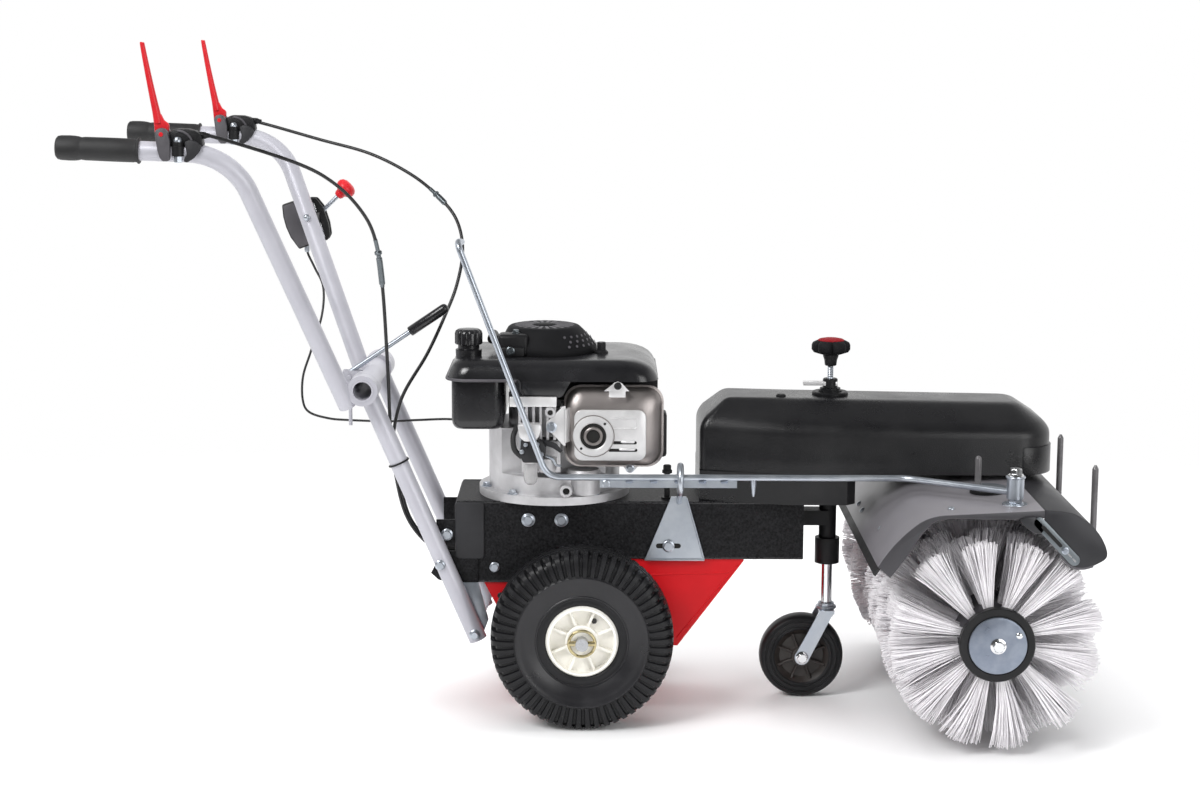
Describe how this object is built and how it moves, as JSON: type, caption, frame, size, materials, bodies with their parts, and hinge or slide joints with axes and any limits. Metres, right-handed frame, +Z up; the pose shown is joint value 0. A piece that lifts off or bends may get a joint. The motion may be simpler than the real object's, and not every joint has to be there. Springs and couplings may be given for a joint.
{
  "type": "power brush sweeper",
  "caption": "Walk-behind sweeper with an upright-shaft engine, a rotary brush on a swivelling head, drive wheels, a support caster and bent tube handles.",
  "frame": {"origin": "on the ground under the middle of the machine", "axes": "+X forwards to the brush, +Y to the left side, +Z up"},
  "size_m": [1.5967, 0.688, 1.065],
  "materials": {
    "black_paint": "fine-textured black powder coat",
    "red_paint": "smooth red paint",
    "silver_paint": "silver paint",
    "graphite_paint": "satin graphite paint",
    "zinc": "bright zinc plate",
    "yellow_zinc": "yellow zinc plate",
    "steel": "turned steel",
    "muffler_steel": "satin pressed steel",
    "chrome": "bright chrome",
    "bronze": "sintered bronze",
    "cast_aluminium": "bare casting",
    "black_plastic": "fine-grained black plastic",
    "dark_plastic": "dark grey plastic",
    "tank_plastic": "satin black plastic",
    "white_plastic": "cream moulded plastic",
    "red_plastic": "glossy red plastic",
    "core_plastic": "black plastic",
    "bristle": "translucent white nylon",
    "cable": "black cable sheath",
    "rubber": "black rubber",
    "tyre": "black tyre rubber"
  },
  "bodies": {
    "chassis": {"frame_box": "black_paint", "axle_carrier": "red_paint", "bearings": "bronze", "rear_cover": "dark_plastic", "fasteners": "zinc", "engine_block": "cast_aluminium", "engine_shroud": "black_plastic", "recoil_cover": "black_plastic", "fuel_tank": "tank_plastic", "muffler": "muffler_steel", "carburettor": "cast_aluminium", "hood": "black_plastic", "boom": "black_paint", "lower_tube_right": "silver_paint", "lower_tube_left": "silver_paint", "handle_brackets": "zinc", "rod_guide": "zinc", "caster_sleeve": "black_paint", "drive_belts": "rubber", "lever_cables": "cable", "throttle_cable": "cable"},
    "axle": {"axle_shaft": "steel", "tyre_right": "tyre", "tyre_left": "tyre", "rim_right": "white_plastic", "rim_left": "white_plastic", "linch_pins": "yellow_zinc"},
    "worm": {"worm_shaft": "steel"},
    "crank": {"crankshaft": "steel"},
    "jack": {"jackshaft": "steel"},
    "head": {"head_gearbox": "black_paint", "head_cover": "graphite_paint", "front_flap": "graphite_paint", "bin_pins": "graphite_paint", "rear_strip": "rubber", "steering_pivot": "zinc"},
    "input": {"input_shaft": "steel"},
    "brush": {"brush_shaft": "core_plastic", "bristles_right": "bristle", "bristles_left": "bristle", "brush_end_rings": "core_plastic"},
    "steering": {"steering_rod": "zinc"},
    "handle": {"cross_tube": "silver_paint", "upper_tube_right": "silver_paint", "upper_tube_left": "silver_paint", "grips": "rubber", "lever_brackets": "black_plastic", "throttle_box": "dark_plastic"},
    "squeeze_right": {"lever_right": "red_plastic"},
    "squeeze_left": {"lever_left": "red_plastic"},
    "throttle": {"throttle_lever": "red_plastic"},
    "tilt_lock": {"lock_lever": "zinc"},
    "height_knob": {"caster_knob": "black_plastic"},
    "height_lock": {"caster_lock": "zinc"},
    "stem": {"caster_stem": "chrome"},
    "fork": {"caster_fork": "zinc"},
    "caster": {"caster_wheel": "rubber"},
    "cap": {"fuel_cap": "black_plastic"},
    "starter": {"starter_grip": "black_plastic"}
  },
  "joints": [
    {"name": "wheel_spin", "type": "hinge", "parent": "chassis", "child": "axle", "pos_m": [-0.015, 0, 0.144], "axis": [0, 1, 0], "continuous": true},
    {"name": "worm_spin", "type": "hinge", "parent": "chassis", "child": "worm", "pos_m": [0.0295, 0, 0.2], "axis": [0, 0, 1], "continuous": true},
    {"name": "crank_spin", "type": "hinge", "parent": "chassis", "child": "crank", "pos_m": [-0.062, 0, 0.4], "axis": [0, 0, 1], "continuous": true},
    {"name": "jackshaft_spin", "type": "hinge", "parent": "chassis", "child": "jack", "pos_m": [0.25, 0, 0.35], "axis": [0, 0, 1], "continuous": true},
    {"name": "head_swivel", "type": "hinge", "parent": "chassis", "child": "head", "pos_m": [0.61, 0, 0.37], "axis": [0, 0, 1], "range_deg": [-15, 15]},
    {"name": "brush_spin", "type": "hinge", "parent": "head", "child": "brush", "pos_m": [0.61, 0, 0.176], "axis": [0, 1, 0], "continuous": true},
    {"name": "input_spin", "type": "hinge", "parent": "head", "child": "input", "pos_m": [0.61, 0, 0.3], "axis": [0, 0, 1], "continuous": true},
    {"name": "rod_turn", "type": "hinge", "parent": "head", "child": "steering", "pos_m": [0.637, -0.286, 0.405], "axis": [0, 0, 1], "range_deg": [-15, 15]},
    {"name": "handle_tilt", "type": "hinge", "parent": "chassis", "child": "handle", "pos_m": [-0.358, 0, 0.53], "axis": [0, 1, 0], "range_deg": [-15, 15], "deforming": ["lever_cables", "throttle_cable"]},
    {"name": "right_squeeze", "type": "hinge", "parent": "handle", "child": "squeeze_right", "pos_m": [-0.635, -0.258, 0.932], "axis": [0, 1, 0], "range_deg": [-60, 0], "stiffness_Nm_per_rad": 1, "springref_deg": 17.19},
    {"name": "left_squeeze", "type": "hinge", "parent": "handle", "child": "squeeze_left", "pos_m": [-0.635, 0.258, 0.932], "axis": [0, 1, 0], "range_deg": [-60, 0], "stiffness_Nm_per_rad": 1, "springref_deg": 17.19},
    {"name": "throttle_turn", "type": "hinge", "parent": "handle", "child": "throttle", "pos_m": [-0.484, 0.287, 0.76], "axis": [0, 1, 0], "range_deg": [-25, 25]},
    {"name": "lock_turn", "type": "hinge", "parent": "handle", "child": "tilt_lock", "pos_m": [-0.394, 0, 0.531], "axis": [0, 1, 0], "range_deg": [-60, 0]},
    {"name": "knob_turn", "type": "hinge", "parent": "chassis", "child": "height_knob", "pos_m": [0.385, 0, 0.5], "axis": [0, 0, 1], "range_deg": [-2260, 2260]},
    {"name": "height_lock_turn", "type": "hinge", "parent": "chassis", "child": "height_lock", "pos_m": [0.385, 0, 0.52], "axis": [0, 0, 1], "range_deg": [0, 60]},
    {"name": "caster_height", "type": "slide", "parent": "chassis", "child": "stem", "axis": [0, 0, 1], "range_m": [-0.025, 0.025]},
    {"name": "caster_swivel", "type": "hinge", "parent": "stem", "child": "fork", "pos_m": [0.385, 0, 0.14], "axis": [0, 0, 1], "range_deg": [-100, 100]},
    {"name": "caster_roll", "type": "hinge", "parent": "fork", "child": "caster", "pos_m": [0.345, 0, 0.069], "axis": [0, 1, 0], "continuous": true},
    {"name": "cap_turn", "type": "hinge", "parent": "chassis", "child": "cap", "pos_m": [-0.197, -0.06, 0.6], "axis": [0, 0, 1], "range_deg": [0, 90]},
    {"name": "starter_pull", "type": "slide", "parent": "chassis", "child": "starter", "axis": [-1, 0, 0], "range_m": [0, 0.03], "stiffness_N_per_m": 20, "springref_m": -0.02}
  ],
  "couplings": [
    {"joint": "worm_spin", "follows": "wheel_spin", "ratio": 25},
    {"joint": "input_spin", "follows": "brush_spin", "ratio": 2.5714},
    {"joint": "jackshaft_spin", "follows": "brush_spin", "ratio": 2.5714},
    {"joint": "rod_turn", "follows": "head_swivel", "ratio": -0.947},
    {"joint": "knob_turn", "follows": "caster_height", "rad_per_m": 1570.8}
  ]
}
